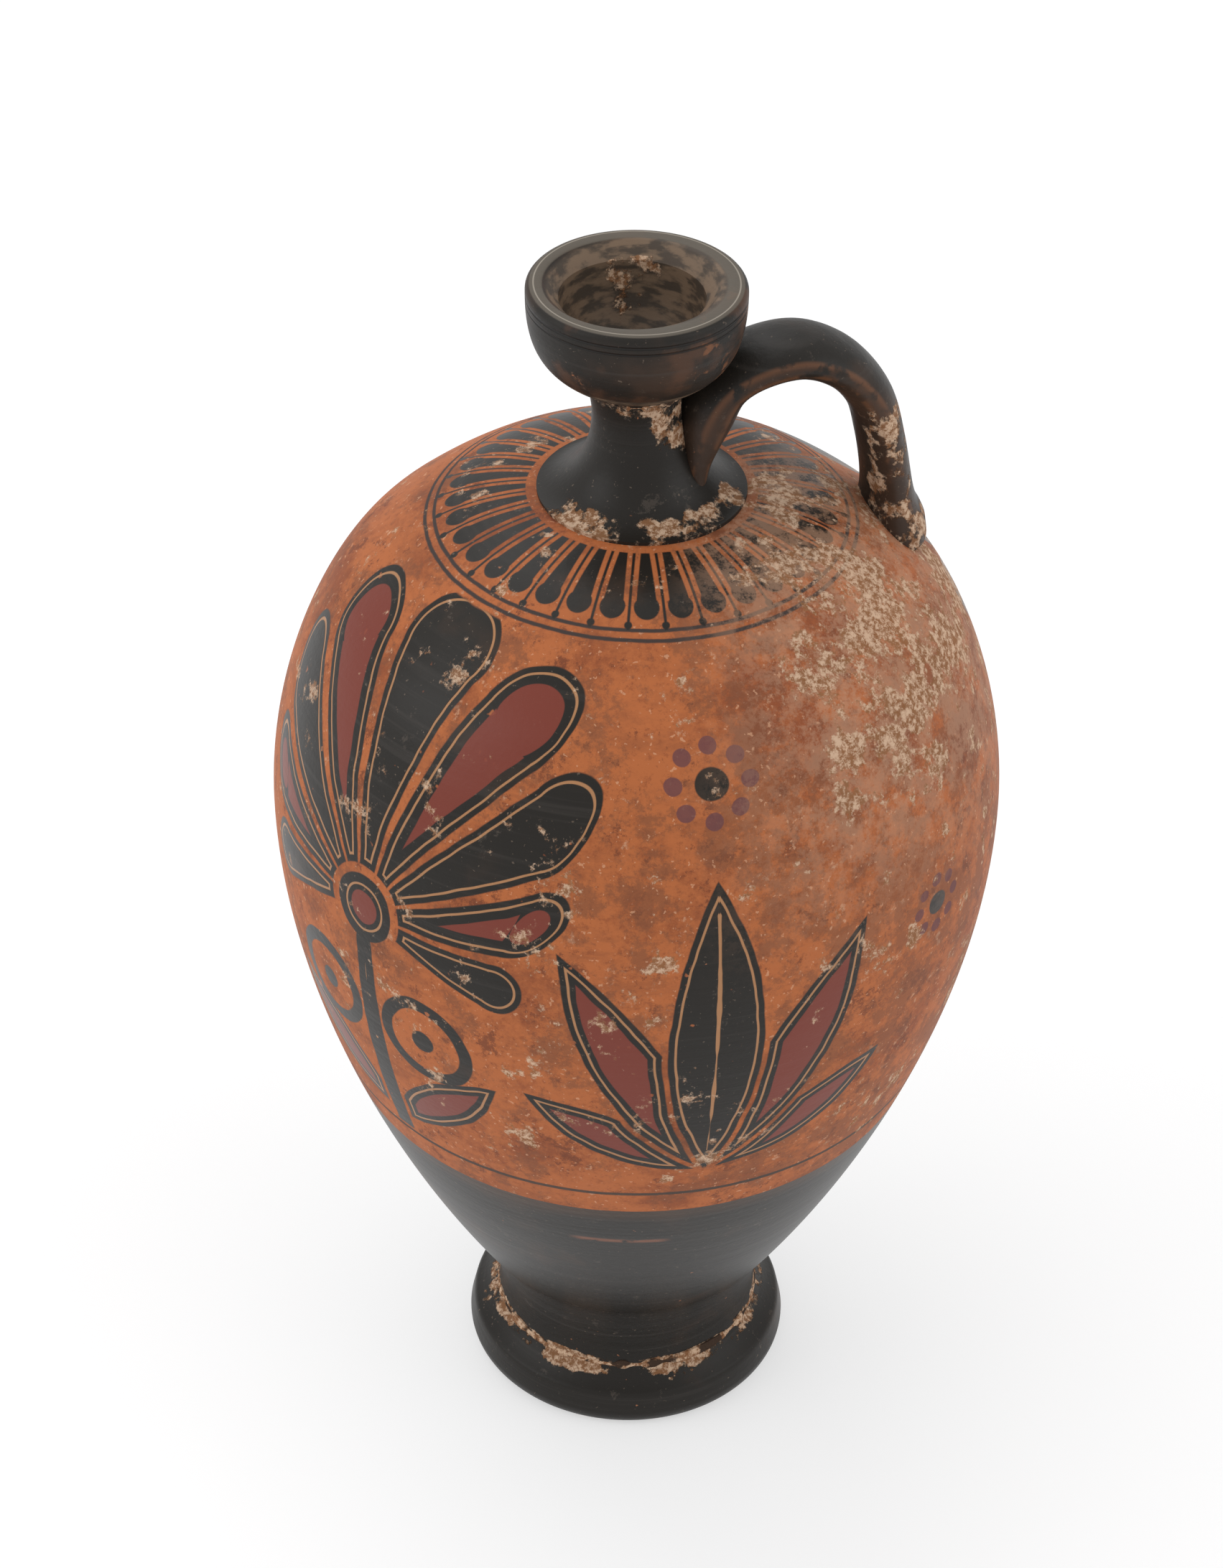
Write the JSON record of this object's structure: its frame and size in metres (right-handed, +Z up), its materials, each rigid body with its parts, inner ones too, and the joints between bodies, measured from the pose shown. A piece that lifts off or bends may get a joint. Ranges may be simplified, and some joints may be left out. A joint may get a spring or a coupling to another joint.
{
  "type": "oinochoe",
  "caption": "Round-mouthed clay wine jug with a cup-shaped lip, short flared neck, ovoid body, spreading foot and one strap handle from neck to shoulder.",
  "frame": {"origin": "middle of the face that the foot rests on", "axes": "+Z up along the axis of the thrown body; +X towards the handle"},
  "size_m": [0.147, 0.147, 0.2687],
  "materials": {
    "black_gloss": "satin",
    "painted_clay": "satin",
    "slip_clay": "matte"
  },
  "bodies": {
    "root": {"foot": "black_gloss", "body": "painted_clay", "neck": "black_gloss", "mouth_cup": "black_gloss", "handle": "black_gloss", "foot_seam_slip": "slip_clay", "neck_seam_slip": "slip_clay", "mouth_seam_slip": "slip_clay", "handle_neck_slip": "slip_clay", "handle_shoulder_slip": "slip_clay"}
  },
  "joints": []
}
